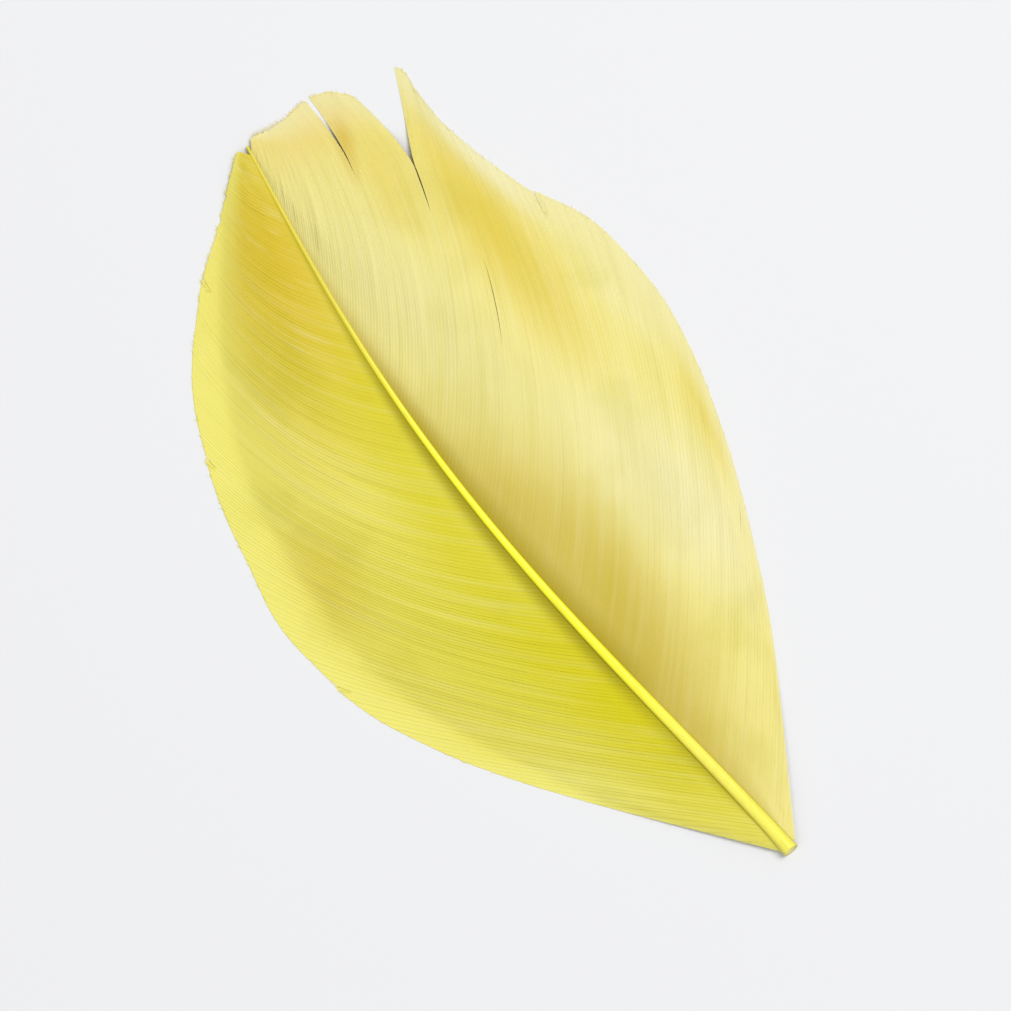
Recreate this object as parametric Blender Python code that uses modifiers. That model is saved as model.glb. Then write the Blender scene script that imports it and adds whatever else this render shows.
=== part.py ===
"""A small goose feather, trimmed to a leaf shape, that lies with its hollow side down.

The frame is in metres with +Z up. +Y runs along the shaft from the cut quill to the far end, and +X is the
side of the wider right vane. The origin is under the middle of the feather, on the surface it lies on.
The feather grew as one piece, so it is one solid: a thin sheet for both vanes, joined to a tapered shaft.
"""

import math
from typing import NamedTuple

import bmesh
import bpy
from mathutils import Vector

MM = 0.001


class Lip(NamedTuple):
    """One side of a split: how far its end is pushed to the right, and how far along the shaft that is felt."""

    push: float
    spread: float


class Split(NamedTuple):
    """A place where two neighbouring barbs have come apart."""

    start: float  # height along the shaft where the two barbs start
    opens: float  # share of their length where the mouth begins
    near: Lip  # on the side of the quill
    far: Lip  # on the side of the far end
    step: float  # how far the far lip stands up


# Shaft: its run seen from above, how far it stands up and how thick it is
SHAFT_LENGTH = 61.5 * MM
SHAFT_BOW = 2.75 * MM  # how far the shaft bends to the left of a straight line
SHAFT_BOW_SKEW = 1.2  # over 1 puts the deepest bend past the middle
SHAFT_LEAN = 0.4 * MM  # how far right of the quill the far end lies
SHAFT_ARCH = 2.7 * MM  # how far the middle stands above a straight line
QUILL_WIDTH = 1.2 * MM
FAR_WIDTH = 0.22 * MM
SHAFT_TAPER = 0.6  # under 1 thins the shaft sooner near the quill
SHAFT_STEPS = 26
MERGE_DISTANCE = 0.001 * MM

# Vanes: each barb leaves the shaft, bends towards the far end and stops at the margin. A margin lists the
# height along the shaft where a barb starts, then the x and y of the place where it ends, in millimetres.
LEFT_MARGIN = (
    (0.4, -0.75, 0.55),
    (2.5, -9.6, 12.1),
    (6.0, -16.2, 23.0),
    (10.0, -18.2, 31.3),
    (16.0, -17.2, 39.6),
    (25.7, -14.0, 48.8),
    (38.0, -8.7, 55.3),
    (49.7, -4.5, 58.5),
    (60.8, -0.35, 61.7),
)
RIGHT_MARGIN = (
    (0.4, 0.75, 0.5),
    (2.4, 8.0, 12.2),
    (4.4, 11.3, 18.8),
    (7.0, 14.2, 25.8),
    (10.5, 16.4, 34.2),
    (14.0, 16.3, 41.0),
    (20.3, 13.5, 47.8),
    (27.0, 11.5, 54.4),
    (31.0, 10.9, 57.2),
    (35.2, 9.9, 59.6),
    (37.0, 8.3, 60.8),
    (40.0, 6.4, 61.4),
    (48.0, 3.6, 61.5),
    (60.8, 0.9, 61.8),
)
QUILL_ANGLE = math.radians(43)  # at which barbs leave the shaft at the quill
FAR_ANGLE = math.radians(30)
MIDDLE_ANGLE_RISE = math.radians(12)  # how much wider the barbs leave half way along the shaft
VANE_THICKNESS = 0.36 * MM
COLUMNS = 72  # strips of barbs along the shaft
COLUMN_CROWDING = 1.3  # over 1 sets the strips closer together towards the quill
ROWS = 11  # cells from the shaft to the margin
RIDGE_HEIGHT = 0.05 * MM  # every other strip stands up by this and its neighbour sinks by it

# Camber: how the vanes droop and bulge on their way from the shaft to the surface they lie on
DROOP_POWER = 1.7
LEFT_BULGE = 0.3 * MM
RIGHT_BULGE = 1.15 * MM
BULGE_POWER = 1.2  # how soon the bulges fade towards both ends of the shaft
QUILL_CREST, FAR_CREST = 0.62, 0.3  # share of the way out where a bulge is highest, at the quill and far end
QUILL_EDGE = 0.6 * MM  # height of the margin at the quill
RESTING_EDGE = -0.9 * MM  # below the surface, so that the margin there is pressed flat
PRESS_SOFTNESS = 0.15 * MM  # how far above the surface a vane starts to bend flat
FAR_EDGE = 0.45 * MM  # height of the margin at the far end
PRESSED_FROM, PRESSED_TO = 0.09, 0.45  # stretch of the shaft whose barbs end on the pressed margin
SHAFT_SINK = 0.1  # share of the shaft's width that its centre lies below the vanes

# Splits in the right vane, and how fast their mouths widen towards the margin
LOBE_SPLIT = Split(35.2 * MM, 0.78, Lip(1.8 * MM, 7 * MM), Lip(-1.7 * MM, 4.5 * MM), 0.25 * MM)
END_SPLIT = Split(41.8 * MM, 0.67, Lip(0.75 * MM, 5 * MM), Lip(0.4 * MM, 3 * MM), 0.12 * MM)
SPLIT_WIDENING = 1.15

# Dyed keratin, as a linear colour
DYE_COLOUR = (0.72, 0.66, 0.12, 1)
ROUGHNESS = 0.55

COLLECTION_NAME = "feather"
HELPER_COLLECTION_NAME = "joined_in"


def clear_scene():
    for scene_object in list(bpy.data.objects):
        bpy.data.objects.remove(scene_object, do_unlink=True)


def new_collection(name):
    collection = bpy.data.collections.new(name)
    bpy.context.scene.collection.children.link(collection)
    return collection


def blend(a, b, share):
    return a + (b - a) * share


def smooth_step(low, high, value):
    share = min(max((value - low) / (high - low), 0.0), 1.0)
    return share * share * (3 - 2 * share)


def smooth_through(knots, at):
    """The point at a parameter on a smooth curve through the knots, each a parameter, an x and a y."""
    last = len(knots) - 1
    k = next((i for i in range(last) if at <= knots[i + 1][0]), last - 1)
    places = [Vector(knot[1:]) for knot in knots]
    spans = [knots[i + 1][0] - knots[i][0] for i in range(last)]
    slopes = [(places[i + 1] - places[i]) / spans[i] for i in range(last)]

    def tangent(i):
        if i in (0, last):
            return slopes[min(i, last - 1)]
        return (slopes[i - 1] * spans[i] + slopes[i] * spans[i - 1]) / (spans[i - 1] + spans[i])

    t = (at - knots[k][0]) / spans[k]
    return (
        places[k] * (2 * t**3 - 3 * t**2 + 1)
        + places[k + 1] * (3 * t**2 - 2 * t**3)
        + tangent(k) * (spans[k] * (t**3 - 2 * t**2 + t))
        + tangent(k + 1) * (spans[k] * (t**3 - t**2))
    )


def shaft_width(along):
    return blend(QUILL_WIDTH, FAR_WIDTH, along**SHAFT_TAPER)


def shaft_centre(along):
    """The middle of the shaft at a share of its length."""
    bow = SHAFT_BOW * math.sin(math.pi * along**SHAFT_BOW_SKEW)
    arch = SHAFT_ARCH * math.sin(math.pi * along)
    resting = blend(QUILL_WIDTH / 2, VANE_THICKNESS, along)
    return Vector((SHAFT_LEAN * along - bow, SHAFT_LENGTH * along, resting + arch))


def barb_run(side, start, out):
    """The place seen from above on the barb that starts at a height along the shaft, a share of its way out."""
    along = start / SHAFT_LENGTH
    root = shaft_centre(along).to_2d()
    tip = smooth_through(RIGHT_MARGIN if side > 0 else LEFT_MARGIN, start / MM) * MM
    leaving = blend(QUILL_ANGLE, FAR_ANGLE, along) + MIDDLE_ANGLE_RISE * math.sin(math.pi * along)
    straight = math.atan2(side * (tip - root).x, (tip - root).y)
    reach = (tip - root).length / 2 / math.cos(leaving - straight)
    bend = root + Vector((side * math.sin(leaving), math.cos(leaving))) * reach
    return root * (1 - out) ** 2 + bend * 2 * out * (1 - out) + tip * out**2


def split_shift(start, out):
    """How far the splits move a place in the right vane sideways and up."""
    sideways, up = 0.0, 0.0
    for split in (LOBE_SPLIT, END_SPLIT):
        lip = split.far if start > split.start else split.near
        opened = max(0.0, (out - split.opens) / (1 - split.opens)) ** SPLIT_WIDENING
        felt = opened * math.exp(-abs(start - split.start) / lip.spread)
        sideways += felt * lip.push
        up += felt * (split.step if lip is split.far else 0.0)
    return sideways, up


def edge_height(along):
    """How high the margin lies where the barbs from a share of the shaft end."""
    pressed = blend(QUILL_EDGE, RESTING_EDGE, smooth_step(0, PRESSED_FROM, along))
    return blend(pressed, FAR_EDGE, smooth_step(PRESSED_TO, 1, along))


def vane_height(side, start, out):
    """How high the middle of the vane's thickness lies."""
    along = start / SHAFT_LENGTH
    ridge = shaft_centre(along).z + SHAFT_SINK * shaft_width(along)
    droop = (edge_height(along) - ridge) * out**DROOP_POWER
    bulge = (RIGHT_BULGE if side > 0 else LEFT_BULGE) * math.sin(math.pi * along) ** BULGE_POWER
    crest = blend(QUILL_CREST, FAR_CREST, along)
    return ridge + droop + bulge * (smooth_step(0, crest, out) - smooth_step(crest, 1, out))


def pressed_flat(height):
    """The height of a vane's middle once the surface below has pressed it up, smooth where that begins."""
    lowest = VANE_THICKNESS / 2
    above = height - lowest
    if above > PRESS_SOFTNESS:
        return height
    return lowest + max(above + PRESS_SOFTNESS, 0.0) ** 2 / (4 * PRESS_SOFTNESS)


def vane_point(side, start, out, ridge):
    """A place on the vanes; ridge is 1 on a strip that stands up and -1 on one that sinks."""
    place = barb_run(side, start, out)
    sideways, up = split_shift(start, out) if side > 0 else (0.0, 0.0)
    relief = RIDGE_HEIGHT * ridge * math.sin(math.pi * out)
    height = vane_height(side, start, out) + up + relief
    return Vector((place.x + sideways, place.y, pressed_flat(height)))


def column_start(column):
    """The height along the shaft where the barbs of a line between two strips start."""
    first, last = LEFT_MARGIN[0][0] * MM, LEFT_MARGIN[-1][0] * MM
    return blend(first, last, (column / COLUMNS) ** COLUMN_CROWDING)


def is_split_open(column, row):
    """Whether a cell lies in the mouth of a split, where the vane has nothing."""
    for split in (LOBE_SPLIT, END_SPLIT):
        here = column_start(column) <= split.start < column_start(column + 1)
        if here and (row + 0.5) / ROWS > split.opens:
            return True
    return False


def make_vanes(collection):
    """Both vanes as one sheet: a grid whose lines across the feather are bent into pairs of barbs."""
    mesh = bpy.data.meshes.new("feather")
    grid = bmesh.new()
    bmesh.ops.create_grid(grid, x_segments=COLUMNS, y_segments=2 * ROWS, size=0.5)
    mouths = []
    for face in grid.faces:
        centre = face.calc_center_median()
        column = math.floor((centre.x + 0.5) * COLUMNS)
        row = math.floor(centre.y * 2 * ROWS)
        if row >= 0 and is_split_open(column, row):
            mouths.append(face)
    for vertex in grid.verts:
        column = round((vertex.co.x + 0.5) * COLUMNS)
        row = round(vertex.co.y * 2 * ROWS)
        ridge = 1 if column % 2 else -1
        side = 1 if row > 0 else -1
        vertex.co = vane_point(side, column_start(column), abs(row) / ROWS, ridge)
    bmesh.ops.delete(grid, geom=mouths, context="FACES")
    bmesh.ops.recalc_face_normals(grid, faces=grid.faces)
    grid.to_mesh(mesh)
    grid.free()
    vanes = bpy.data.objects.new("feather", mesh)
    collection.objects.link(vanes)
    thickness = vanes.modifiers.new("vane_thickness", "SOLIDIFY")
    thickness.thickness = VANE_THICKNESS
    thickness.offset = 0
    return vanes


def make_shaft(collection):
    """The shaft as a tapered tube on its own centre line, turned into a closed mesh."""
    curve = bpy.data.curves.new("shaft_line", "CURVE")
    curve.dimensions = "3D"
    curve.bevel_depth = QUILL_WIDTH / 2
    curve.bevel_resolution = 4
    curve.use_fill_caps = True
    line = curve.splines.new("POLY")
    line.points.add(SHAFT_STEPS)
    for i, point in enumerate(line.points):
        along = i / SHAFT_STEPS
        point.co = (*shaft_centre(along), 1)
        point.radius = shaft_width(along) / QUILL_WIDTH
    guide = bpy.data.objects.new("shaft_line", curve)
    collection.objects.link(guide)
    bpy.context.view_layer.update()
    evaluated = guide.evaluated_get(bpy.context.evaluated_depsgraph_get())
    mesh = bpy.data.meshes.new_from_object(evaluated)
    closed = bmesh.new()
    closed.from_mesh(mesh)
    bmesh.ops.remove_doubles(closed, verts=closed.verts, dist=MERGE_DISTANCE)
    closed.to_mesh(mesh)
    closed.free()
    shaft = bpy.data.objects.new("shaft", mesh)
    shaft.matrix_world = guide.matrix_world
    bpy.data.objects.remove(guide, do_unlink=True)
    collection.objects.link(shaft)
    shaft.hide_render = True
    shaft.display_type = "WIRE"
    return shaft


def join_shaft(vanes, shaft):
    union = vanes.modifiers.new("grown_on_shaft", "BOOLEAN")
    union.operation = "UNION"
    union.solver = "EXACT"
    union.object = shaft


def set_on_origin(feather, shaft):
    """Moves the feather so that the origin lies under its middle, on the surface it rests on."""
    bpy.context.view_layer.update()
    evaluated = feather.evaluated_get(bpy.context.evaluated_depsgraph_get())
    corners = [feather.matrix_world @ Vector(corner) for corner in evaluated.bound_box]
    low = Vector([min(corner[i] for corner in corners) for i in range(3)])
    high = Vector([max(corner[i] for corner in corners) for i in range(3)])
    middle = (low + high) / 2
    for piece in (feather, shaft):
        piece.location -= Vector((middle.x, middle.y, low.z))


def keratin_material():
    """Yellow-green dyed feather: satin, not metallic."""
    material = bpy.data.materials.new("dyed_feather")
    material.use_nodes = True
    shader = material.node_tree.nodes["Principled BSDF"]
    shader.inputs["Base Color"].default_value = DYE_COLOUR
    shader.inputs["Roughness"].default_value = ROUGHNESS
    shader.inputs["Metallic"].default_value = 0
    return material


def main():
    clear_scene()
    parts = new_collection(COLLECTION_NAME)
    helpers = new_collection(HELPER_COLLECTION_NAME)
    feather = make_vanes(parts)
    shaft = make_shaft(helpers)
    join_shaft(feather, shaft)
    for piece in (feather, shaft):
        piece.data.materials.append(keratin_material())
        piece.data.shade_smooth()
    set_on_origin(feather, shaft)


main()
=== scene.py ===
"""A small yellow-green goose feather, trimmed to a leaf shape, with every barb as its own blade.

The feather lies with its hollow side down. Lengths are in metres, +Y runs along the shaft from the cut
quill to the far end and +X is the side of the wider right vane, as in the CAD model of it.
"""

import logging
import math
from dataclasses import dataclass, field
from enum import Enum

import bpy
import numpy as np
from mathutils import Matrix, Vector


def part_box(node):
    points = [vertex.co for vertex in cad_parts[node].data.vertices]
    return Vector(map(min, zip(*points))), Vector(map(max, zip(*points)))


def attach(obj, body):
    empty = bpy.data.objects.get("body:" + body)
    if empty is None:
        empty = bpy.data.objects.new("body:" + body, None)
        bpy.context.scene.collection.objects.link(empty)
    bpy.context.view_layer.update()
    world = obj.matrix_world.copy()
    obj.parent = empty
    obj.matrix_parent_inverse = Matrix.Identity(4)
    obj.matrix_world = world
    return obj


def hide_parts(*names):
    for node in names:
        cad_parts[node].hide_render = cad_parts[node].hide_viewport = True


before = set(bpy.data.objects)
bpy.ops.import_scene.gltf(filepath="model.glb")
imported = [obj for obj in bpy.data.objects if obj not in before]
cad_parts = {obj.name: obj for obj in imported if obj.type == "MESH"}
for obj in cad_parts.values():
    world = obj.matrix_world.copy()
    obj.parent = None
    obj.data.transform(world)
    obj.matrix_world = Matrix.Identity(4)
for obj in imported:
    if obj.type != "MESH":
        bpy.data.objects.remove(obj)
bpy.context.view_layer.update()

Array = np.ndarray
Chance = np.random.Generator
Socket = bpy.types.NodeSocket
Colour = tuple[float, float, float, float]
Numbers = float | Array

LOG = logging.getLogger("feather")
MM = 0.001
BODY = "root"
CAD_NODE = "feather"
BARB_NOTES = "barb"  # on a mesh: share along the shaft, share of the way out, tone of the barb
SHAFT_NOTES = "shaft"  # on a mesh: share along the shaft, height in the section, share of pith
MARGIN_SAMPLES = 400
SPLIT_WIDENING = 1.15  # the power at which a split widens towards the margin
SLIT_SPREAD = 1.2 * MM  # how far along the shaft the lips of a slit are felt
MIX_A, MIX_B, MIX_RESULT = 6, 7, 2  # a Mix node's colour inputs and its colour output


def blend(a: Numbers, b: Numbers, share: Numbers) -> Numbers:
    """Returns the value a share of the way from a to b."""
    return a + (b - a) * share


def smooth_step(low: Numbers, high: Numbers, value: Numbers) -> Array:
    """Returns 0 below low, 1 above high and a smooth rise between them."""
    share = np.clip((value - low) / (high - low), 0.0, 1.0)
    return share * share * (3 - 2 * share)


def linear(red: int, green: int, blue: int) -> Colour:
    """Returns the linear colour, which a shader reads, of a screen's sRGB values from 0 to 255."""
    shares = (value / 255 for value in (red, green, blue))
    return (*(s / 12.92 if s <= 0.04045 else ((s + 0.055) / 1.055) ** 2.4 for s in shares), 1.0)


def placed(name: str, data: bpy.types.ID) -> bpy.types.Object:
    """Makes an object and puts it into the scene.

    Args:
        name: The object's name.
        data: The mesh, light or camera that it shows.

    Returns:
        The object.
    """
    made = bpy.data.objects.new(name, data)
    bpy.context.scene.collection.objects.link(made)
    return made


class Side(Enum):
    """Which side of the shaft a vane grows on; the value is its direction along X."""

    LEFT = -1
    RIGHT = 1


@dataclass(frozen=True)
class Lip:
    """One side of a split: how far it is pushed to the right, and how far along the shaft that is felt."""

    push: float
    spread: float


@dataclass(frozen=True)
class Split:
    """A place where two neighbouring barbs have come apart.

    A split that closes again before the margin is a slit inside the vane.
    """

    start: float  # height along the shaft where the two barbs start
    opens: float  # share of their length where the gap begins
    near: Lip  # on the side of the quill
    far: Lip  # on the side of the far end
    step: float  # how far the far lip stands up
    closes: float | None = None  # share of their length where the gap ends again

    def opened(self, out: Array) -> Array:
        """Returns how wide the gap is at shares of the way out, 1 at its widest."""
        past = np.clip((out - self.opens) / ((self.closes or 1.0) - self.opens), 0.0, 1.0)
        return past**SPLIT_WIDENING if self.closes is None else np.sin(np.pi * past) ** 2


def slit(start: float, opens: float, closes: float | None, gap: float, step: float = 0.05 * MM) -> Split:
    """Returns a narrow split whose two lips share the gap; it reaches the margin if closes is None."""
    return Split(start, opens, Lip(gap / 2, SLIT_SPREAD), Lip(-gap / 2, SLIT_SPREAD), step, closes)


class Margin:
    """The outline of one vane, as a smooth curve through a few places where barbs end.

    Args:
        knots: Each the height along the shaft where a barb starts and the x and y of its end, in mm.
    """

    def __init__(self, knots: tuple[tuple[float, float, float], ...]) -> None:
        """Works out the curve's tangents."""
        table = np.array(knots) * MM
        self.keys, self.places = table[:, 0], table[:, 1:]
        spans = np.diff(self.keys)[:, None]
        slopes = np.diff(self.places, axis=0) / spans
        inner = (slopes[:-1] * spans[1:] + slopes[1:] * spans[:-1]) / (spans[1:] + spans[:-1])
        self.tangents = np.vstack([slopes[:1], inner, slopes[-1:]])

    def end_of(self, start: Array) -> Array:
        """Finds where barbs end.

        Args:
            start: Heights along the shaft where they start.

        Returns:
            The x and y of each end, in a last axis of two.
        """
        k = np.clip(np.searchsorted(self.keys, start) - 1, 0, len(self.keys) - 2)
        span = self.keys[k + 1] - self.keys[k]
        t = ((start - self.keys[k]) / span)[..., None]
        span = span[..., None]
        return (
            self.places[k] * (2 * t**3 - 3 * t**2 + 1)
            + self.places[k + 1] * (3 * t**2 - 2 * t**3)
            + self.tangents[k] * span * (t**3 - 2 * t**2 + t)
            + self.tangents[k + 1] * span * (t**3 - t**2)
        )


MARGINS = {
    Side.LEFT: Margin((
        (0.4, -0.75, 0.55),
        (2.5, -9.6, 12.1),
        (6.0, -16.2, 23.0),
        (10.0, -18.2, 31.3),
        (16.0, -17.2, 39.6),
        (25.7, -14.0, 48.8),
        (38.0, -8.7, 55.3),
        (49.7, -4.5, 58.5),
        (60.8, -0.35, 61.7),
    )),
    Side.RIGHT: Margin((
        (0.4, 0.75, 0.5),
        (2.4, 8.0, 12.2),
        (4.4, 11.3, 18.8),
        (7.0, 14.2, 25.8),
        (10.5, 16.4, 34.2),
        (14.0, 16.3, 41.0),
        (20.3, 13.5, 47.8),
        (27.0, 11.5, 54.4),
        (31.0, 10.9, 57.2),
        (35.2, 9.9, 59.6),
        (37.0, 8.3, 60.8),
        (40.0, 6.4, 61.4),
        (48.0, 3.6, 61.5),
        (60.8, 0.9, 61.8),
    )),
}
SPLITS = {
    Side.RIGHT: (
        Split(35.2 * MM, 0.78, Lip(1.8 * MM, 7 * MM), Lip(-1.7 * MM, 4.5 * MM), 0.25 * MM),
        Split(41.8 * MM, 0.67, Lip(0.75 * MM, 5 * MM), Lip(0.4 * MM, 3 * MM), 0.12 * MM),
        slit(35.2 * MM, 0.58, 0.9, 0.16 * MM, 0.12 * MM),
        slit(29.6 * MM, 0.05, 0.25, 0.05 * MM),
        slit(29.6 * MM, 0.3, 0.72, 0.1 * MM, 0.08 * MM),
        slit(13.6 * MM, 0.08, 0.3, 0.06 * MM),
        slit(5.6 * MM, 0.74, 0.97, 0.07 * MM),
        slit(19.2 * MM, 0.93, None, 0.15 * MM),
    ),
    Side.LEFT: (
        slit(14.2 * MM, 0.12, 0.5, 0.05 * MM),
        slit(8.3 * MM, 0.95, None, 0.12 * MM),
        slit(22.4 * MM, 0.96, None, 0.14 * MM),
        slit(40.6 * MM, 0.93, None, 0.12 * MM),
    ),
}


def offset_into_frame() -> Array:
    """Finds the move from the quill's end, where the form's own numbers start, into the frame.

    Returns:
        The move in x, y and z.
    """
    low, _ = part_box(CAD_NODE)
    margin = MARGINS[Side.LEFT]
    starts = np.linspace(margin.keys[0], margin.keys[-1], MARGIN_SAMPLES)
    widest = margin.end_of(starts)[:, 0].min()
    return np.array([low[0] - widest, low[1], 0.0])


@dataclass(frozen=True)
class FeatherForm:
    """The run of the shaft and the barbs, and the camber of the vanes, as in the CAD model."""

    offset: Array
    shaft_length: float = 61.5 * MM
    shaft_bow: float = 2.75 * MM
    shaft_bow_skew: float = 1.2
    shaft_lean: float = 0.4 * MM
    shaft_arch: float = 2.7 * MM
    quill_width: float = 1.2 * MM
    far_width: float = 0.22 * MM
    shaft_taper: float = 0.6
    shaft_sink: float = 0.1
    vane_thickness: float = 0.36 * MM
    quill_angle: float = math.radians(43)
    far_angle: float = math.radians(30)
    middle_angle_rise: float = math.radians(12)
    droop_power: float = 1.7
    bulges: dict[Side, float] = field(default_factory=lambda: {Side.LEFT: 0.3 * MM, Side.RIGHT: 1.15 * MM})
    bulge_power: float = 1.2
    quill_crest: float = 0.62
    far_crest: float = 0.3
    quill_edge: float = 0.6 * MM
    resting_edge: float = -0.9 * MM
    far_edge: float = 0.45 * MM
    pressed_from: float = 0.09
    pressed_to: float = 0.45
    press_softness: float = 0.15 * MM
    settle: float = 0.12 * MM  # how much lower the thin margin lies than the middle of the model's sheet

    def shaft_width(self, along: Array) -> Array:
        """Returns the shaft's width at shares of its length."""
        return blend(self.quill_width, self.far_width, np.clip(along, 0, 1) ** self.shaft_taper)

    def shaft_centre(self, along: Array) -> Array:
        """Finds the middle of the shaft.

        Args:
            along: Shares of its length.

        Returns:
            The places, in a last axis of three.
        """
        bow = self.shaft_bow * np.sin(np.pi * np.clip(along, 0, 1) ** self.shaft_bow_skew)
        arch = self.shaft_arch * np.sin(np.pi * along)
        resting = blend(self.quill_width / 2, self.vane_thickness, along)
        return np.stack([self.shaft_lean * along - bow, self.shaft_length * along, resting + arch], -1)

    def barb_run(self, side: Side, start: Array, out: Array) -> Array:
        """Finds places on barbs, seen from above.

        Args:
            side: The vane.
            start: Heights along the shaft where the barbs start.
            out: Shares of the way along them, of the same shape.

        Returns:
            The x and y of each place, in a last axis of two.
        """
        along = start / self.shaft_length
        root = self.shaft_centre(along)[..., :2]
        tip = MARGINS[side].end_of(start)
        leaving = blend(self.quill_angle, self.far_angle, along)
        leaving = leaving + self.middle_angle_rise * np.sin(np.pi * along)
        chord = tip - root
        straight = np.arctan2(side.value * chord[..., 0], chord[..., 1])
        reach = np.hypot(chord[..., 0], chord[..., 1]) / 2 / np.cos(leaving - straight)
        bend = root + np.stack([side.value * np.sin(leaving), np.cos(leaving)], -1) * reach[..., None]
        out = out[..., None]
        return root * (1 - out) ** 2 + bend * 2 * out * (1 - out) + tip * out**2

    def split_shift(self, side: Side, start: Array, out: Array, own: float) -> tuple[Array, Array]:
        """Finds how far the splits move places on one barb's blade.

        Args:
            side: The vane.
            start: Heights along the shaft that the places belong to.
            out: Shares of the way out.
            own: The height where the blade's own barb starts, which says which lip it is on.

        Returns:
            The moves sideways and up.
        """
        sideways, up = np.zeros_like(out), np.zeros_like(out)
        for split in SPLITS[side]:
            is_far = own > split.start
            lip = split.far if is_far else split.near
            away = np.maximum((start - split.start) * (1 if is_far else -1), 0.0)
            felt = split.opened(out) * np.exp(-away / lip.spread)
            sideways += felt * lip.push * side.value
            up += felt * (split.step if is_far else 0.0)
        return sideways, up

    def edge_height(self, along: Array) -> Array:
        """Returns how high the margin lies where the barbs from shares of the shaft end."""
        pressed = blend(self.quill_edge, self.resting_edge, smooth_step(0, self.pressed_from, along))
        return blend(pressed, self.far_edge, smooth_step(self.pressed_to, 1, along))

    def vane_height(self, side: Side, start: Array, out: Array) -> Array:
        """Finds how high the middle of the vane's thickness lies, before the surface presses it flat.

        Args:
            side: The vane.
            start: Heights along the shaft that the places belong to.
            out: Shares of the way out.

        Returns:
            The heights.
        """
        along = start / self.shaft_length
        ridge = self.shaft_centre(along)[..., 2] + self.shaft_sink * self.shaft_width(along)
        droop = (self.edge_height(along) - ridge) * out**self.droop_power
        bulge = self.bulges[side] * np.sin(np.pi * along) ** self.bulge_power
        crest = blend(self.quill_crest, self.far_crest, along)
        return ridge + droop + bulge * (smooth_step(0, crest, out) - smooth_step(crest, 1, out))

    def pressed_flat(self, height: Array) -> Array:
        """Lets the surface below press the vane up.

        Args:
            height: How high the middle of its thickness would lie.

        Returns:
            How high it lies.
        """
        lowest = self.vane_thickness / 2
        above = height - lowest
        soft = lowest + np.maximum(above + self.press_softness, 0) ** 2 / (4 * self.press_softness)
        return np.where(above > self.press_softness, height, soft)

    def vane_point(self, side: Side, start: Array, out: Array, own: float, ripple: Array) -> Array:
        """Finds places on the vane.

        Args:
            side: The vane.
            start: Heights along the shaft that the places belong to.
            out: Shares of the way out.
            own: The height where the blade's own barb starts.
            ripple: How far each place stands above the smooth vane.

        Returns:
            The places, in a last axis of three.
        """
        place = self.barb_run(side, start, out)
        sideways, up = self.split_shift(side, start, out, own)
        height = self.pressed_flat(self.vane_height(side, start, out) + up + ripple)
        height = height - self.settle * out**3
        return np.stack([place[..., 0] + sideways, place[..., 1], height], -1)


@dataclass
class Loft:
    """Collects tubes between rings of points, and becomes one mesh object."""

    note_name: str  # the mesh attribute that holds the notes
    sharp_angle: float = math.radians(60)  # edges that turn by more than this stay sharp
    points: list[Array] = field(default_factory=list)
    faces: list[list[int]] = field(default_factory=list)
    notes: list[Array] = field(default_factory=list)
    count: int = 0

    def add_tube(self, rings: Array, notes: Array) -> None:
        """Adds a tube with a cap on both ends.

        Args:
            rings: Points by ring and by place round it, with x, y and z last, going round anticlockwise
                as seen from the tube's far end.
            notes: Three numbers a point that the finish reads, of the same shape.
        """
        steps, around, _ = rings.shape
        index = self.count + np.arange(steps * around).reshape(steps, around)
        here, there = index[:-1], index[1:]
        turned_here, turned_there = np.roll(here, -1, axis=1), np.roll(there, -1, axis=1)
        quads = np.stack([here, turned_here, turned_there, there], -1).reshape(-1, 4)
        self.faces.extend(quads.tolist())
        self.faces.append(index[0][::-1].tolist())
        self.faces.append(index[-1].tolist())
        self.points.append(rings.reshape(-1, 3))
        self.notes.append(notes.reshape(-1, 3))
        self.count += steps * around

    def to_object(self, name: str, material: bpy.types.Material) -> bpy.types.Object:
        """Makes the mesh object.

        Args:
            name: The object's name.
            material: What it is made of.

        Returns:
            The object, placed in the scene.
        """
        mesh = bpy.data.meshes.new(name)
        mesh.from_pydata(np.concatenate(self.points).tolist(), [], self.faces)
        attribute = mesh.attributes.new(self.note_name, "FLOAT_VECTOR", "POINT")
        attribute.data.foreach_set("vector", np.concatenate(self.notes).astype(np.float32).ravel())
        mesh.shade_smooth()
        mesh.set_sharp_from_angle(angle=self.sharp_angle)
        mesh.materials.append(material)
        return placed(name, mesh)


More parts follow.
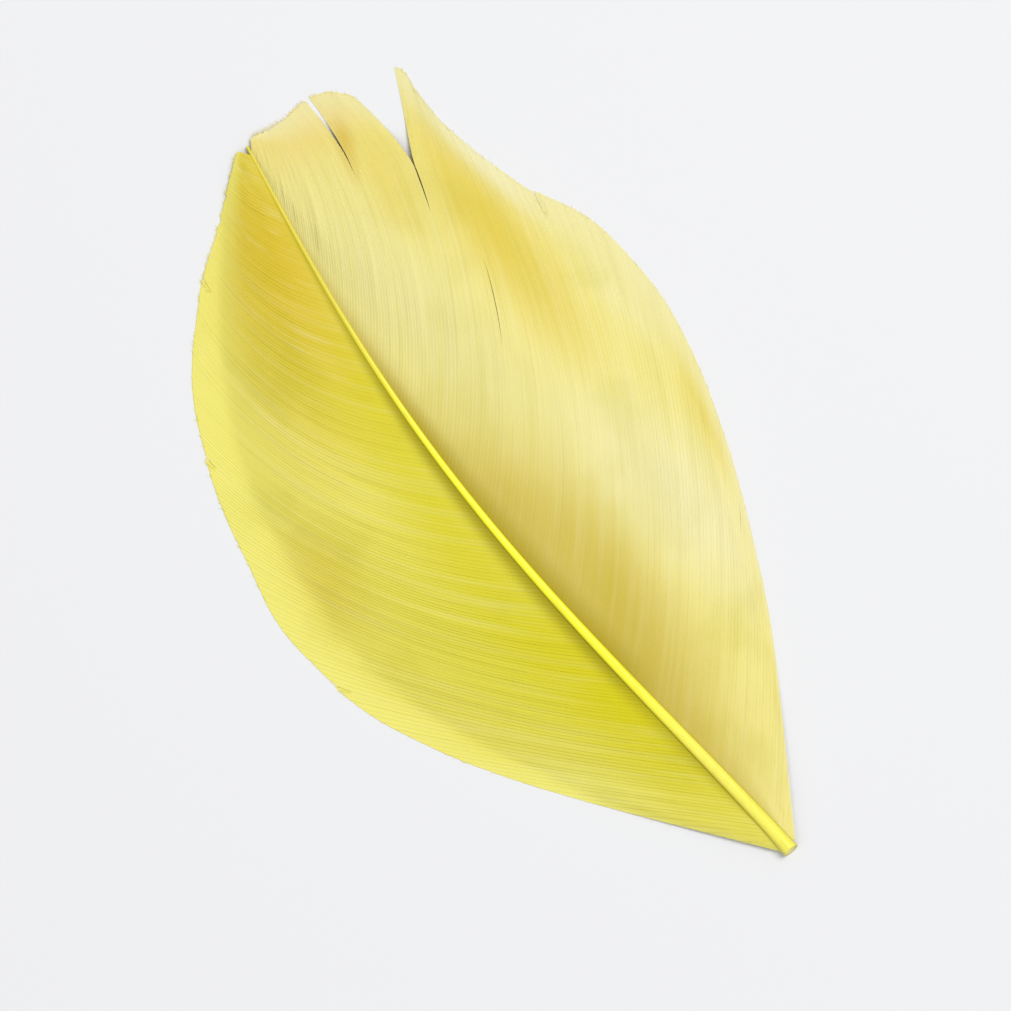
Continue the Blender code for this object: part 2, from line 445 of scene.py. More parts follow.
@dataclass(frozen=True)
class Term:
    """A number that varies over a surface: one socket, with Python's operators for its Math nodes."""

    graph: "Graph"
    socket: Socket

    def math(self, operation: str, *values: "Term | float") -> "Term":
        """Returns the result of a Math node on these values."""
        node = self.graph.node("ShaderNodeMath", {"operation": operation}, dict(enumerate(values)))
        return Term(self.graph, node.outputs[0])

    def __add__(self, other: "Term | float") -> "Term":
        """Returns the sum."""
        return self.math("ADD", self, other)

    __radd__ = __add__

    def __sub__(self, other: "Term | float") -> "Term":
        """Returns the difference."""
        return self.math("SUBTRACT", self, other)

    def __rsub__(self, other: float) -> "Term":
        """Returns the difference."""
        return self.math("SUBTRACT", other, self)

    def __mul__(self, other: "Term | float") -> "Term":
        """Returns the product."""
        return self.math("MULTIPLY", self, other)

    __rmul__ = __mul__

    def __truediv__(self, other: "Term | float") -> "Term":
        """Returns the quotient."""
        return self.math("DIVIDE", self, other)

    def __rtruediv__(self, other: float) -> "Term":
        """Returns the quotient."""
        return self.math("DIVIDE", other, self)

    def __pow__(self, other: "Term | float") -> "Term":
        """Returns the power."""
        return self.math("POWER", self, other)

    def __rpow__(self, other: float) -> "Term":
        """Returns the power."""
        return self.math("POWER", other, self)

    def rise(self, low: float, high: float) -> "Term":
        """Turns the number into a share.

        Args:
            low: Where the share is 0. It may be above high.
            high: Where it is 1.

        Returns:
            The share, with a smooth rise between the two.
        """
        settings = {"interpolation_type": "SMOOTHSTEP", "clamp": True}
        sockets = {"Value": self, "From Min": min(low, high), "From Max": max(low, high)}
        sockets.update({"To Min": float(low > high), "To Max": float(low <= high)})
        return Term(self.graph, self.graph.node("ShaderNodeMapRange", settings, sockets).outputs[0])


class Graph:
    """Builds the nodes of one material.

    Args:
        name: The material's name.
    """

    def __init__(self, name: str) -> None:
        """Makes the material, with no nodes yet."""
        self.material = bpy.data.materials.new(name)
        self.material.use_nodes = True
        self.tree = self.material.node_tree
        self.tree.nodes.clear()

    def node(self, kind: str, settings: dict | None = None, sockets: dict | None = None) -> bpy.types.Node:
        """Adds a node.

        Args:
            kind: The node's type.
            settings: Its own properties, which are set first.
            sockets: A value, colour, socket or Term for each input, by its name or number.

        Returns:
            The node.
        """
        made = self.tree.nodes.new(kind)
        for name, value in (settings or {}).items():
            setattr(made, name, value)
        for name, value in (sockets or {}).items():
            socket = made.inputs[name]
            if isinstance(value, Term):
                self.tree.links.new(value.socket, socket)
            elif isinstance(value, Socket):
                self.tree.links.new(value, socket)
            else:
                socket.default_value = value
        return made

    def mix(self, a: Colour | Socket, b: Colour | Socket, share: Term) -> Socket:
        """Returns the colour a share of the way from a to b."""
        settings = {"data_type": "RGBA", "clamp_factor": True}
        return self.node("ShaderNodeMix", settings, {0: share, MIX_A: a, MIX_B: b}).outputs[MIX_RESULT]

    def place(self) -> Socket:
        """Returns the place on the object, in metres."""
        return self.node("ShaderNodeTexCoord").outputs["Object"]

    def parts(self, vector: Socket) -> tuple[Term, Term, Term]:
        """Returns the three numbers of a vector."""
        node = self.node("ShaderNodeSeparateXYZ", None, {0: vector})
        return tuple(Term(self, number) for number in node.outputs)

    def notes(self, name: str) -> tuple[Term, Term, Term]:
        """Returns the three numbers of a mesh attribute."""
        return self.parts(self.node("ShaderNodeAttribute", {"attribute_name": name}).outputs["Vector"])

    def vector(self, x: Term, y: Term, z: Term | float) -> Socket:
        """Returns a vector of three numbers."""
        return self.node("ShaderNodeCombineXYZ", None, {0: x, 1: y, 2: z}).outputs[0]

    def noise(self, place: Socket, scale: float, detail: float) -> Term:
        """Returns soft noise from 0 to 1 at a place."""
        sockets = {"Vector": place, "Scale": scale, "Detail": detail}
        return Term(self, self.node("ShaderNodeTexNoise", None, sockets).outputs[0])

    def relief(self, height: Term, strength: float, distance: float) -> Socket:
        """Returns the normal of a surface with this relief."""
        sockets = {"Strength": strength, "Distance": distance, "Height": height}
        return self.node("ShaderNodeBump", None, sockets).outputs[0]

    def finish(self, surface: Socket) -> bpy.types.Material:
        """Links a shader to the output and returns the material."""
        self.node("ShaderNodeOutputMaterial", None, {"Surface": surface})
        return self.material


@dataclass(frozen=True)
class Band:
    """Where a varying number lets a colour show: not at all at one value, to its depth at another."""

    none: float
    full: float
    depth: float = 1.0

    def share(self, value: Term) -> Term:
        """Returns how much of the colour shows."""
        return value.rise(self.none, self.full) * self.depth


@dataclass(frozen=True)
class Tint:
    """A patch of another colour, or of painted light or shade, on a vane, as a soft ellipse; places and
    sizes are in millimetres.
    """

    colour: Colour
    x: float
    y: float
    length: float
    width: float
    turn: float  # degrees from +Y towards +X
    strength: float

    def share(self, x: Term, y: Term) -> Term:
        """Finds how much of this tint shows.

        Args:
            x, y: The place in the form's own millimetres.

        Returns:
            A number from 0 to the tint's strength.
        """
        turn = math.radians(self.turn)
        from_x, from_y = x - self.x, y - self.y
        lengthwise = (from_x * math.sin(turn) + from_y * math.cos(turn)) / self.length
        across = (from_x * math.cos(turn) - from_y * math.sin(turn)) / self.width
        away = (lengthwise * lengthwise + across * across) ** 0.5
        return away.rise(1.0, 0.0) * self.strength


@dataclass(frozen=True)
class VaneFinish:
    """Dyed keratin of the barbs: satin, light comes through it, and the dye is uneven; painted shade and
    light lie beside the shaft and in some tints.
    """

    name: str
    ground: Colour
    tints: tuple[Tint, ...]
    root: Colour  # the deeper dye and painted shade beside the shaft
    root_dye_and_shade_band: Band  # over shares of the way out, as for the next two
    shaft_shade_line: Colour  # painted shadow over deeper dye: the dark line beside the middle of the shaft
    shaft_shade_line_band: Band
    rim: Colour
    rim_band: Band
    mottle_band: Band  # over noise, as for the next three
    streak_band: Band = Band(0.5, 0.8, 0.2)
    thread_band: Band = Band(0.55, 0.8, 0.08)
    pale_streak_band: Band = Band(0.48, 0.2, 0.2)
    pale_barb_band: Band = Band(0.7, 1.0, 0.08)  # over the tones of the barbs
    shaft_shade_line_begins: Band = Band(0.18, 0.3)  # over shares along the shaft
    shaft_shade_line_ends: Band = Band(0.85, 0.6)
    pale: Colour = linear(252, 246, 190)
    deep: Colour = linear(208, 196, 40)
    glow: Colour = linear(252, 244, 110)
    mottle_scale: float = 160.0  # per metre
    streaks_along: float = 60.0  # over the length of the shaft
    streaks_out: float = 2.0  # over the length of a barb
    threads_along: float = 400.0
    threads_out: float = 6.0
    roughness: float = 0.55
    roughness_spread: float = 0.14
    gloss: float = 0.22
    relief: float = 0.02 * MM
    relief_strength: float = 0.25
    through: float = 0.2  # share of the light that shines through

    def material(self, offset: Array) -> bpy.types.Material:
        """Builds the material.

        Args:
            offset: The move from the form's own numbers into the frame.

        Returns:
            The material, which reads the notes of the barbs.
        """
        graph = Graph(self.name)
        along, out, tone = graph.notes(BARB_NOTES)
        place = graph.place()
        own_x, own_y, _ = graph.parts(place)
        x, y = (own_x - offset[0]) / MM, (own_y - offset[1]) / MM
        mottle = graph.noise(place, self.mottle_scale, detail=2.0)
        streak_place = graph.vector(along * self.streaks_along, out * self.streaks_out, 0.0)
        streaks = graph.noise(streak_place, 1.0, detail=3.0)
        thread_place = graph.vector(along * self.threads_along, out * self.threads_out, tone)
        threads = graph.noise(thread_place, 1.0, detail=1.0)
        dark = self.streak_band.share(streaks) + self.thread_band.share(threads)
        light = self.pale_streak_band.share(streaks) + self.pale_barb_band.share(tone)
        in_middle = self.shaft_shade_line_begins.share(along) * self.shaft_shade_line_ends.share(along)
        colour = self.ground
        for tint in self.tints:
            colour = graph.mix(colour, tint.colour, tint.share(x, y))
        colour = graph.mix(colour, self.deep, self.mottle_band.share(mottle))
        colour = graph.mix(colour, self.deep, dark)
        colour = graph.mix(colour, self.pale, light)
        # Deeper dye and painted shade beside the shaft.
        colour = graph.mix(colour, self.root, self.root_dye_and_shade_band.share(out))
        # A painted shadow line beside the middle of the shaft, over deeper dye.
        colour = graph.mix(colour, self.shaft_shade_line, self.shaft_shade_line_band.share(out) * in_middle)
        shine = graph.node("ShaderNodeBsdfPrincipled", None, {
            "Base Color": graph.mix(colour, self.rim, self.rim_band.share(out)),
            "Roughness": streaks * self.roughness_spread + (self.roughness - self.roughness_spread / 2),
            "Specular IOR Level": self.gloss,
            "Normal": graph.relief(threads, self.relief_strength, self.relief),
        }).outputs[0]
        glow = graph.node("ShaderNodeBsdfTranslucent", None, {"Color": self.glow}).outputs[0]
        both = graph.node("ShaderNodeMixShader", None, {0: self.through, 1: shine, 2: glow}).outputs[0]
        return graph.finish(both)


@dataclass(frozen=True)
class ShaftFinish:
    """The shaft's horn: smooth and glossy, with painted shade along its flanks and a painted highlight
    along its top.
    """

    name: str = "shaft_horn"
    # Painted shade on the shaft's flanks; the grain takes this darker tone too.
    flank_shade_and_grain: Colour = linear(196, 184, 26)
    # The shaft's yellow with a painted highlight, on its top.
    crown: Colour = linear(250, 240, 92)
    crown_highlight_band: Band = Band(0.55, 0.95)  # where the painted highlight shows, over heights in the section
    middle: Colour = linear(254, 248, 44)  # of the crown, past the quill
    middle_band: Band = Band(0.12, 0.3)  # over shares along the shaft
    far: Colour = linear(224, 209, 64)
    far_band: Band = Band(0.55, 0.85)  # over shares along the shaft
    grain_band: Band = Band(0.5, 0.8, 0.35)
    grain_scale: tuple[float, float, float] = (9000, 350, 9000)  # per metre, drawn out along the shaft
    pith: Colour = linear(250, 244, 190)
    roughness: float = 0.3
    pith_roughness: float = 0.7
    gloss: float = 0.35
    coat: float = 0.08
    coat_roughness: float = 0.2
    relief: float = 0.02 * MM
    relief_strength: float = 0.3

    def material(self) -> bpy.types.Material:
        """Builds the material.

        Returns:
            The material, which reads the notes of the shaft.
        """
        graph = Graph(self.name)
        along, height, pith = graph.notes(SHAFT_NOTES)
        sockets = {"Vector": graph.place(), "Scale": self.grain_scale}
        stretched = graph.node("ShaderNodeMapping", None, sockets).outputs[0]
        grain = graph.noise(stretched, 1.0, detail=3.0)
        # Painted highlight on the top and painted shade on the flanks, by height in the section.
        crown = graph.mix(self.crown, self.middle, self.middle_band.share(along))
        colour = graph.mix(self.flank_shade_and_grain, crown, self.crown_highlight_band.share(height))
        colour = graph.mix(colour, self.far, self.far_band.share(along))
        colour = graph.mix(colour, self.flank_shade_and_grain, self.grain_band.share(grain))
        colour = graph.mix(colour, self.pith, pith)
        shader = graph.node("ShaderNodeBsdfPrincipled", None, {
            "Base Color": colour,
            "Roughness": pith * (self.pith_roughness - self.roughness) + self.roughness,
            "Specular IOR Level": self.gloss,
            "Coat Weight": self.coat,
            "Coat Roughness": self.coat_roughness,
            "Normal": graph.relief(grain, self.relief_strength, self.relief),
        }).outputs[0]
        return graph.finish(shader)


@dataclass
class Vane:
    """One vane: its barbs side by side, each a ridged blade that tucks under the next one's ridge."""

    form: FeatherForm
    side: Side
    finish: VaneFinish
    seed: int
    ripple_height: float
    barbs: int = 166
    unevenness: float = 0.14  # of the distance between barbs
    ramus_share: float = 0.5  # of the distance between barbs, at the shaft
    ramus_rise: float = 0.016 * MM
    ramus_taper: float = 0.35  # its size at the margin, over that at the shaft
    shoulder: float = 0.45  # height of the ramus's side, over its own
    lift_spread: float = 0.005 * MM  # how unevenly the blades stand up
    keel: float = 0.15 * MM
    web_depth: float = 0.01 * MM
    web_drop: float = 0.015 * MM
    web_thickness: float = 0.03 * MM
    full_gap: float = 0.3 * MM  # barbs closer together than this have lower ridges
    least_room: float = 0.15  # how low these get, over their full height
    tuck: float = 1.06  # of the distance between barbs
    steps: int = 44
    least_step: float = 0.3  # the shortest last step, over the others
    ripples: int = 9
    ripple_lengths: tuple[float, float] = (1.0 * MM, 9.0 * MM)
    ripple_drift: float = 1.5  # in waves over the length of a barb
    ripple_growth: float = 0.5  # the power at which longer ripples are higher
    ripple_fade: float = 0.7
    calm_root: float = 0.35  # share of the way out within which the ripples fade towards the shaft
    edge_wander: float = 0.05 * MM
    end_wander: float = 0.1 * MM  # at the far end, where the margin is ragged
    ragged_from: float = 0.5  # share of the shaft
    ragged_fully: float = 0.75
    clumping: float = 0.75  # how much a barb is trimmed as the one before it
    clump_share: float = 1.2
    single_share: float = 0.35
    most_over: float = 0.5  # how far a barb may stand past the margin, over the wander
    shortest_barb: float = 4 * MM
    sharp_angle: float = math.radians(50)

    def starts(self, chance: Chance) -> Array:
        """Decides where the barbs start.

        Args:
            chance: Where their uneven spacing comes from.

        Returns:
            Heights along the shaft, with one more to close the last blade.
        """
        keys = MARGINS[self.side].keys
        spacing = (keys[-1] - keys[0]) / self.barbs
        even = np.linspace(keys[0], keys[-1], self.barbs + 1)
        uneven = even + chance.uniform(-self.unevenness, self.unevenness, self.barbs + 1) * spacing
        return np.clip(uneven, keys[0], keys[-1])

    def ripple_waves(self, chance: Chance) -> Array:
        """Draws the waves that cross the barbs.

        Args:
            chance: Where their drifts and phases come from.

        Returns:
            A row for each: its wavelength, its drift along the barbs, its phase and its share.
        """
        lengths = np.geomspace(*self.ripple_lengths, self.ripples)
        drift = chance.uniform(-self.ripple_drift, self.ripple_drift, self.ripples)
        phase = chance.uniform(0, 2 * np.pi, self.ripples)
        return np.stack([lengths, drift, phase, (lengths / lengths.max()) ** self.ripple_growth], -1)

    def ripple(self, waves: Array, start: Array, out: Array) -> Array:
        """Finds how far the soft ripples lift the vane.

        Args:
            waves: A row for each ripple.
            start: Heights along the shaft that the places belong to.
            out: Shares of the way out.

        Returns:
            The lift at each place.
        """
        total = np.zeros_like(out)
        for length, drift, phase, share in waves:
            total += share * np.sin(2 * np.pi * (start / length + drift * out) + phase)
        strength = np.sin(np.pi * np.clip(out, 0, 1)) ** self.ripple_fade
        strength = strength * smooth_step(0.0, self.calm_root, out)
        return total * self.ripple_height * strength

    def steps_out(self, start: float, clump: float, chance: Chance) -> Array:
        """Decides how long a blade is and where it has its sections.

        Args:
            start: Height along the shaft where its barb starts.
            clump: How much shorter the barbs round it are trimmed.
            chance: Where its own unevenness comes from.

        Returns:
            Shares of the way out, up to the blade's end.
        """
        root, tip = self.form.barb_run(self.side, np.full(2, start), np.array([0.0, 1.0]))
        length = float(np.linalg.norm(tip - root))
        ragged = smooth_step(self.ragged_from, self.ragged_fully, start / self.form.shaft_length)
        wander = blend(self.edge_wander, self.end_wander, float(ragged))
        cut = wander * (self.clump_share * clump + self.single_share * chance.normal())
        longest = 1 - max(cut, -self.most_over * wander) / max(length, self.shortest_barb)
        grid = np.linspace(0, 1, self.steps + 1)
        return np.append(grid[grid < longest - self.least_step / self.steps], longest)

    def section(self, out: Array, room: Array, lift: float) -> tuple[Array, Array]:
        """Draws a blade's section at each step.

        Args:
            out: Shares of the way out, one for each step.
            room: How high the ridge may be at each step, over its full height, as a column.
            lift: How far this blade stands above its neighbours.

        Returns:
            For each step and each of eight points round the section: how far it lies towards the next
            barb, as a share of the distance to it, and how high.
        """
        taper = blend(1.0, self.ramus_taper, out)[:, None]
        half = self.ramus_share / 2 * taper
        rise = (self.ramus_rise * taper + lift) * room
        middle = np.zeros_like(taper)
        tucked = middle + self.tuck
        web = middle - self.web_depth
        web_end = web - self.web_drop * room
        below = web - self.web_thickness
        across = [-half, middle, half, tucked, tucked, half, middle, -half]
        height = [
            web, rise, rise * self.shoulder, web_end,
            web_end - self.web_thickness, below, -self.keel * taper, below,
        ]
        return np.concatenate(across, 1), np.concatenate(height, 1)

    def add_blade(
        self, loft: Loft, ends: tuple[float, float], out: Array, waves: Array, chance: Chance
    ) -> None:
        """Adds one blade.

        Args:
            loft: The mesh that it goes into.
            ends: Heights along the shaft where its own barb and the next one start.
            out: Shares of the way out where it has its sections.
            waves: A row for each ripple.
            chance: Where its lift and its tone come from.
        """
        start, after = ends
        own, other = (self.form.barb_run(self.side, np.full_like(out, end), out) for end in ends)
        gap = np.linalg.norm(other - own, axis=-1)
        room = np.clip(gap / self.full_gap, self.least_room, 1.0)[:, None]
        across, height = self.section(out, room, chance.normal() * self.lift_spread)
        places = start + across * (after - start)
        outs = np.repeat(out[:, None], across.shape[1], 1)
        ripple = self.ripple(waves, places, outs) * room
        points = self.form.vane_point(self.side, places, outs, start, ripple)
        points[..., 2] += height
        points += self.form.offset
        tone = np.full_like(outs, chance.uniform())
        notes = np.stack([places / self.form.shaft_length, outs, tone], -1)
        if self.side is Side.LEFT:
            points, notes = points[:, ::-1], notes[:, ::-1]
        loft.add_tube(points, notes)

    def build(self) -> bpy.types.Object:
        """Builds all the blades as one mesh.

        Returns:
            The vane's object, dressed.
        """
        chance = np.random.default_rng(self.seed)
        starts, waves = self.starts(chance), self.ripple_waves(chance)
        loft = Loft(BARB_NOTES, self.sharp_angle)
        clump = 0.0
        for start, after in zip(starts[:-1], starts[1:]):
            clump = self.clumping * clump + (1 - self.clumping) * chance.normal()
            out = self.steps_out(start, clump, chance)
            self.add_blade(loft, (start, after), out, waves, chance)
        return loft.to_object(f"{self.side.name.lower()}_vane", self.finish.material(self.form.offset))


@dataclass
class Fringe:
    """Loose barbules: fine hairs that stand out from the margins and from the lips of the splits."""

    form: FeatherForm
    finish: VaneFinish
    side: Side
    seed: int
    margin_hairs: int = 420
    margin_out: float = 0.995  # share of the way out where they stand
    bare_ends: float = 0.3 * MM  # along the shaft, at both ends of the margin
    lip_hairs: int = 34  # on each lip of a split that reaches the margin
    bare_lip: float = 0.01  # share of the way out, at both ends of a lip
    lip_offset: float = 0.02 * MM  # along the shaft, from the middle of the split
    lip_turn: float = math.radians(28)
    lip_turn_spread: float = 0.15
    longest: float = 0.42 * MM
    shortest: float = 0.1 * MM
    width: float = 0.022 * MM
    thinning: float = 0.8  # share of the width lost towards the hair's end
    lowest: float = 0.02 * MM
    spread: float = math.radians(32)
    bend: float = 0.2  # spread of the bend sideways, over the length
    rise: float = 0.15
    heading_step: float = 0.02  # share of the way out over which the barb's heading is read
    tone_out: float = 0.94  # share of the way out whose colour the hairs have
    rings: int = 4

    def add_hair(
        self, loft: Loft, start: float, out: float, own: float, turn: float, chance: Chance
    ) -> None:
        """Adds one hair.

        Args:
            loft: The mesh that it goes into.
            start: Height along the shaft of the barb that carries it.
            out: Share of the way out along that barb.
            own: The height that says which lip of a split it is on.
            turn: How far it points away from its barb, towards +X.
            chance: Where its length, its bend and its tone come from.
        """
        starts, outs = np.full(2, start), np.array([out - self.heading_step, out])
        before, base = self.form.vane_point(self.side, starts, outs, own, np.zeros(2))
        heading = base - before
        angle = math.atan2(heading[1], heading[0]) - turn
        length = chance.uniform(self.shortest, self.longest)
        t = np.linspace(0, 1, self.rings)[:, None]
        ahead = np.array([math.cos(angle), math.sin(angle), 0.0])
        across = np.array([-ahead[1], ahead[0], 0.0])
        line = base + ahead * length * t + across * length * chance.normal() * self.bend * t**2
        line[:, 2] += length * (chance.normal() * self.rise * t[:, 0] ** 2)
        line[:, 2] = np.maximum(line[:, 2], self.lowest)
        thin = self.width / 2 * (1 - self.thinning * t)
        up = np.array([0.0, 0.0, 1.0])
        corners = [-across * thin, across * thin, up * thin]
        rings = np.stack([line + corner for corner in corners], 1) + self.form.offset
        note = [start / self.form.shaft_length, self.tone_out, chance.uniform()]
        loft.add_tube(rings[:, ::-1], np.broadcast_to(note, rings.shape))

    def build(self) -> bpy.types.Object:
        """Builds all the hairs of one vane as one mesh.

        Returns:
            The fringe's object, dressed.
        """
        chance = np.random.default_rng(self.seed)
        keys = MARGINS[self.side].keys
        loft = Loft(BARB_NOTES)
        for start in chance.uniform(keys[0] + self.bare_ends, keys[-1] - self.bare_ends, self.margin_hairs):
            self.add_hair(loft, start, self.margin_out, start, chance.normal() * self.spread / 2, chance)
        for split in SPLITS[self.side]:
            if split.closes is None:
                for out in chance.uniform(split.opens + self.bare_lip, 1 - self.bare_lip, self.lip_hairs):
                    for edge in (-self.lip_offset, self.lip_offset):
                        own = split.start + edge
                        lean = math.copysign(self.lip_turn, -edge) * self.side.value
                        turn = lean + chance.normal() * self.lip_turn_spread
                        self.add_hair(loft, own, out, own, turn, chance)
        return loft.to_object(f"{self.side.name.lower()}_fringe", self.finish.material(self.form.offset))


@dataclass
class Shaft:
    """The shaft: a tapering horn tube with a groove below, cut off at the quill to show its pith."""

    form: FeatherForm
    finish: ShaftFinish
    rings: int = 220
    crowding: float = 1.15  # the power at which the rings crowd towards the quill
    around: int = 28
    squareness: float = 2.5  # the power of its section, which is 2 for an ellipse
    square_at: float = 0.3  # share of the shaft where its section is squarest
    height_share: float = 0.96  # height over width
    groove: float = 0.2  # depth over width, on the underside
    groove_width: float = 0.45  # radians
    groove_from: float = 0.1  # share of the shaft where it begins
    groove_full: float = 0.35  # share of the shaft where it is at its deepest
    cut_slant: float = 0.45  # how far the cut's top leans back, over the quill's radius
    cut_reach: float = 0.9 * MM
    cut_gap: float = 0.03 * MM  # from the cut to the first ring of the outside
    wall: float = 0.3  # thickness of the horn at the cut, over the radius
    pith_depth: float = 0.35 * MM
    heading_step: float = 0.001  # share of the shaft over which its heading is read

    def section(self, along: float) -> Array:
        """Draws the section of the shaft.

        Args:
            along: Share of its length.

        Returns:
            The points round it, x and z.
        """
        turn = np.linspace(0, 2 * np.pi, self.around, endpoint=False)
        power = blend(2.0, self.squareness, float(smooth_step(0.0, self.square_at, along)))
        cos, sin = np.cos(turn), np.sin(turn)
        radius = (np.abs(cos) ** power + np.abs(sin) ** power) ** (-1 / power)
        down = 1.5 * np.pi
        below = np.exp(-(((turn - down) / self.groove_width) ** 2))
        depth = self.groove * float(smooth_step(self.groove_from, self.groove_full, along))
        half = float(self.form.shaft_width(along)) / 2
        radius = radius * (1 - 2 * depth * below)
        return np.stack([radius * cos * half, radius * sin * half * self.height_share], -1)

    def ring(self, along: float, shrink: float, inset: float) -> Array:
        """Places one ring of points round the shaft.

        Args:
            along: Share of the shaft's length.
            shrink: Scale of the section.
            inset: How far the ring is pushed into the quill from its cut.

        Returns:
            The points.
        """
        centre, ahead = self.form.shaft_centre(np.array([along, along + self.heading_step]))
        forward = (ahead - centre) / np.linalg.norm(ahead - centre)
        sideways = np.cross(forward, (0.0, 0.0, 1.0))
        sideways /= np.linalg.norm(sideways)
        up = np.cross(sideways, forward)
        flat = self.section(along) * shrink
        points = centre + flat[:, :1] * sideways + flat[:, 1:] * up
        near_cut = math.exp(-along * self.form.shaft_length / self.cut_reach)
        points += forward * (flat[:, 1:] * self.cut_slant * near_cut + inset)
        return points

    def ring_table(self) -> list[tuple[float, float, float, float]]:
        """Lists the rings, from the middle of the pith over the cut and along the outside.

        Returns:
            For each its share of the shaft's length, its scale, its inset and its share of pith.
        """
        cut = [
            (0.0, 0.12, self.pith_depth * 1.15, 1.0),
            (0.0, 1 - self.wall * 1.3, self.pith_depth, 1.0),
            (0.0, 1 - self.wall, 0.08 * MM, 0.6),
            (0.0, 1 - self.wall * 0.7, 0.0, 0.2),
            (0.0, 0.97, 0.0, 0.0),
        ]
        outside = np.linspace(0, 1, self.rings) ** self.crowding
        return cut + [(float(along), 1.0, self.cut_gap, 0.0) for along in outside]

    def build(self) -> bpy.types.Object:
        """Builds the shaft with its cut end.

        Returns:
            The shaft's object, dressed.
        """
        table = self.ring_table()
        points = np.stack([self.ring(*row[:3]) for row in table]) + self.form.offset
        across = np.stack([self.section(row[0])[:, 1] for row in table])
        height = across / np.abs(across).max(axis=1, keepdims=True) * 0.5 + 0.5
        along, _, _, pith = (column[:, None] for column in np.array(table).T)
        notes = np.stack(np.broadcast_arrays(along, height, pith), -1)
        loft = Loft(SHAFT_NOTES)
        loft.add_tube(points[:, ::-1], notes[:, ::-1])
        return loft.to_object("shaft", self.finish.material())


@dataclass(frozen=True)
class Lamp:
    """A square soft light that faces the feather."""

    name: str
    place: tuple[float, float, float]
    size: float
    power: float  # watts

    def build(self) -> None:
        """Hangs it."""
        data = bpy.data.lights.new(self.name, "AREA")
        data.size, data.energy = self.size, self.power
        lamp = placed(self.name, data)
        lamp.location = self.place
        lamp.rotation_euler = Vector(self.place).to_track_quat("Z", "Y").to_euler()


@dataclass
class Studio:
    """A pale floor, soft light from above and a camera that looks straight down."""

    view_turn: float = math.radians(38.06)  # how far the feather lies turned to the left
    view_width: float = 70 * MM
    camera_height: float = 0.5
    sensor: float = 36.0
    floor_size: float = 3.0
    floor_colour: Colour = (0.8, 0.8, 0.81, 1.0)
    floor_roughness: float = 0.8
    key: Lamp = Lamp("key", (0.42, 0.06, 0.93), 0.5, 6.6)
    fill: Lamp = Lamp("fill", (-0.5, -0.2, 0.9), 0.9, 1.9)
    sky: Colour = (0.97, 0.98, 1.0, 1.0)
    sky_strength: float = 0.45

    def camera(self) -> None:
        """Places the camera above the feather, turned as the feather lies."""
        low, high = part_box(CAD_NODE)
        data = bpy.data.cameras.new("camera")
        data.sensor_width = self.sensor
        data.lens = self.sensor * self.camera_height / self.view_width
        camera = placed("camera", data)
        camera.location = ((low[0] + high[0]) / 2, (low[1] + high[1]) / 2, self.camera_height)
        camera.rotation_euler = (0, 0, -self.view_turn)
        bpy.context.scene.camera = camera

    def floor(self) -> None:
        """Lays the floor just under the feather."""
        half = self.floor_size / 2
        mesh = bpy.data.meshes.new("floor")
        corners = [(-half, -half, 0), (half, -half, 0), (half, half, 0), (-half, half, 0)]
        mesh.from_pydata(corners, [], [(0, 1, 2, 3)])
        floor = placed("floor", mesh)
        graph = Graph("floor")
        sockets = {"Base Color": self.floor_colour, "Roughness": self.floor_roughness}
        shader = graph.node("ShaderNodeBsdfPrincipled", None, sockets)
        mesh.materials.append(graph.finish(shader.outputs[0]))

    def world(self) -> None:
        """Lights everything evenly from all round, and shows colours as they are."""
        world = bpy.data.worlds.new("studio")
        world.use_nodes = True
        background = world.node_tree.nodes["Background"]
        background.inputs["Color"].default_value = self.sky
        background.inputs["Strength"].default_value = self.sky_strength
        bpy.context.scene.world = world
        bpy.context.scene.view_settings.view_transform = "Standard"

    def build(self) -> None:
        """Sets up the camera, the floor, the lights and the world."""
        self.camera()
        self.floor()
        self.key.build()
        self.fill.build()
        self.world()


WHITE = linear(255, 253, 226)
PALE = linear(252, 246, 192)
# Painted light that lifts the shade of the slope beside the shaft.
PAINTED_LIGHT_CREAM = linear(246, 238, 166)
YELLOW = linear(238, 216, 88)
# Painted shade beside the shaft, where the right vane rises away from the light.
SHADE_OLIVE = linear(218, 195, 78)
GOLD = linear(230, 202, 48)
AMBER = linear(248, 218, 120)
GREEN_YELLOW = linear(230, 222, 44)
GREEN = linear(228, 218, 10)
LEMON = linear(252, 246, 132)
# Painted shadow along the split near the far end.
SPLIT_SHADOW = linear(226, 190, 64)

LEFT_FINISH = VaneFinish(
    name="left_vane_keratin",
    ground=linear(250, 240, 118),
    tints=(
        Tint(GREEN_YELLOW, -6.0, 20.0, 28.0, 10.0, -20.0, 0.85),
        Tint(GREEN_YELLOW, -5.0, 44.0, 12.0, 6.0, -10.0, 0.5),
        # Deeper dye and painted shade along the shaft, in the next three tints.
        Tint(GREEN, -3.0, 16.0, 19.0, 4.6, -10.0, 0.95),
        Tint(GREEN, -4.4, 34.0, 18.0, 5.0, 0.0, 0.8),
        Tint(GREEN, -3.2, 45.0, 9.0, 1.8, 4.0, 0.7),
        Tint(LEMON, -9.2, 13.0, 9.0, 2.6, -37.0, 0.6),
        Tint(GOLD, -2.8, 54.0, 19.0, 8.0, 20.0, 0.95),
        Tint(GOLD, -14.1, 34.7, 7.0, 4.0, 0.0, 0.4),
    ),
    # Deeper dye and painted shade beside the shaft.
    root=linear(190, 178, 4),
    root_dye_and_shade_band=Band(0.09, 0.0, 0.9),
    # Painted shadow line beside the middle of the shaft.
    shaft_shade_line=linear(165, 152, 0),
    shaft_shade_line_band=Band(0.07, 0.0, 0.9),
    rim=LEMON,
    rim_band=Band(0.7, 1.0, 0.7),
    mottle_band=Band(0.5, 0.75, 0.3),
)
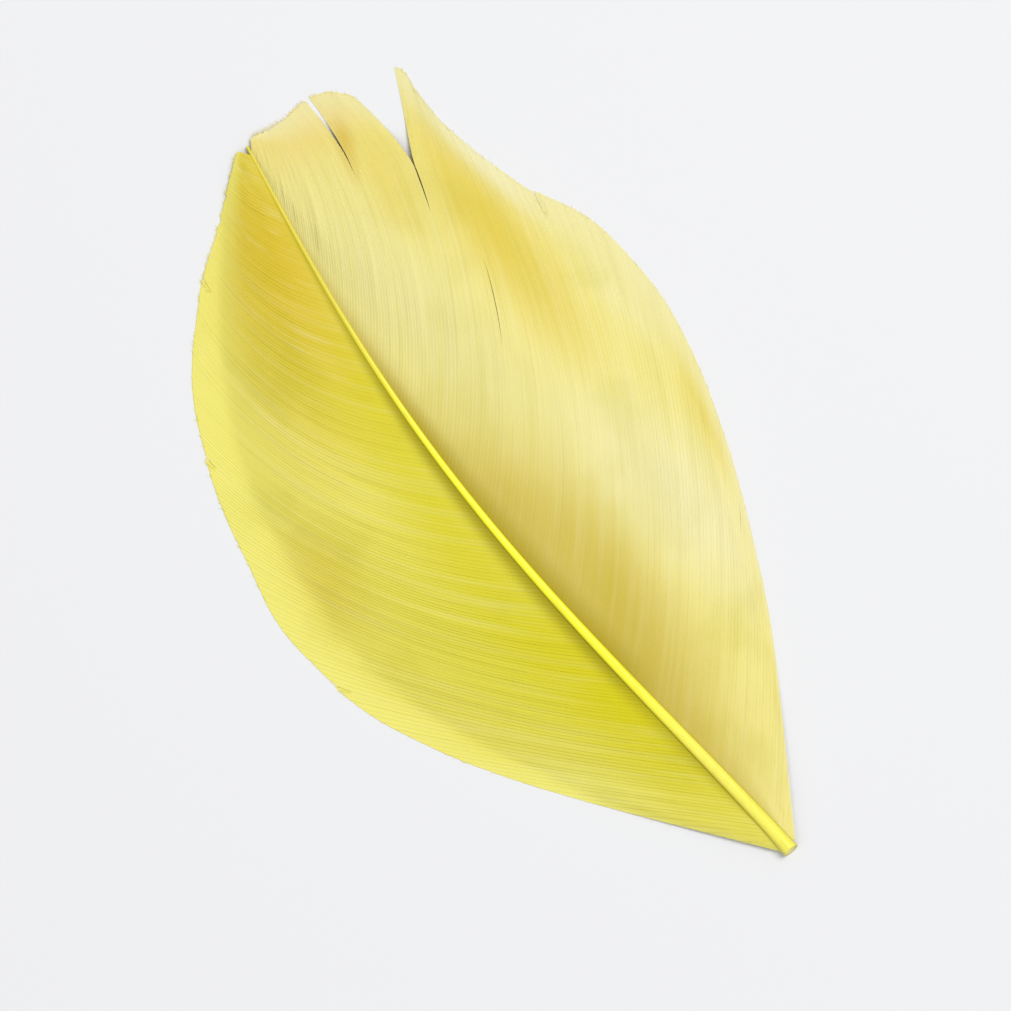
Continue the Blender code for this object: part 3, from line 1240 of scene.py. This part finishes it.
RIGHT_FINISH = VaneFinish(
    name="right_vane_keratin",
    ground=linear(250, 238, 146),
    tints=(
        # Painted shade beside the shaft, in the next two tints.
        Tint(SHADE_OLIVE, 0.8, 20.0, 22.0, 6.0, 6.0, 0.95),
        Tint(SHADE_OLIVE, -0.4, 31.0, 10.0, 3.4, 0.0, 0.7),
        # Painted light over the shaded slope beside the shaft.
        Tint(PAINTED_LIGHT_CREAM, 3.0, 45.0, 22.0, 6.0, -8.0, 0.8),
        # A painted highlight band across the middle of the right vane.
        Tint(PALE, 9.0, 24.0, 16.0, 6.0, -8.0, 0.9),
        Tint(YELLOW, 10.3, 46.5, 16.0, 3.6, 2.0, 0.95),
        Tint(YELLOW, 6.6, 54.0, 8.0, 2.4, 8.0, 0.5),
        Tint(YELLOW, 13.9, 27.0, 8.0, 1.4, 12.0, 0.4),
        Tint(AMBER, 5.0, 61.0, 5.0, 7.0, 0.0, 0.6),
        # Painted shadow along the split near the far end.
        Tint(SPLIT_SHADOW, 6.0, 57.9, 4.6, 1.1, 22.0, 0.6),
        Tint(PALE, 14.6, 37.0, 8.0, 2.4, -4.0, 0.5),
        Tint(WHITE, 12.6, 52.5, 9.0, 1.3, -6.0, 0.9),
    ),
    # Painted shade beside the shaft, where the vane rises away from the light.
    root=linear(202, 178, 62),
    root_dye_and_shade_band=Band(0.14, 0.0, 0.5),
    # Painted shadow line beside the middle of the shaft.
    shaft_shade_line=linear(184, 163, 12),
    shaft_shade_line_band=Band(0.08, 0.0, 0.9),
    rim=PALE,
    rim_band=Band(0.84, 1.0, 0.7),
    mottle_band=Band(0.5, 0.75, 0.2),
)


def main() -> None:
    """Builds the feather and the studio round it."""
    logging.basicConfig(level=logging.INFO, format="%(message)s")
    form = FeatherForm(offset_into_frame())
    parts = (
        Shaft(form, ShaftFinish()),
        Vane(form, Side.LEFT, LEFT_FINISH, seed=11, ripple_height=0.016 * MM),
        Vane(form, Side.RIGHT, RIGHT_FINISH, seed=23, ripple_height=0.03 * MM),
        Fringe(form, LEFT_FINISH, Side.LEFT, seed=31),
        Fringe(form, RIGHT_FINISH, Side.RIGHT, seed=47),
    )
    for part in parts:
        piece = part.build()
        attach(piece, BODY)
        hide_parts(CAD_NODE)
        LOG.info("%s: %d faces", piece.name, len(piece.data.polygons))
    Studio().build()
    bpy.context.view_layer.update()


if __name__ == "__main__":
    main()
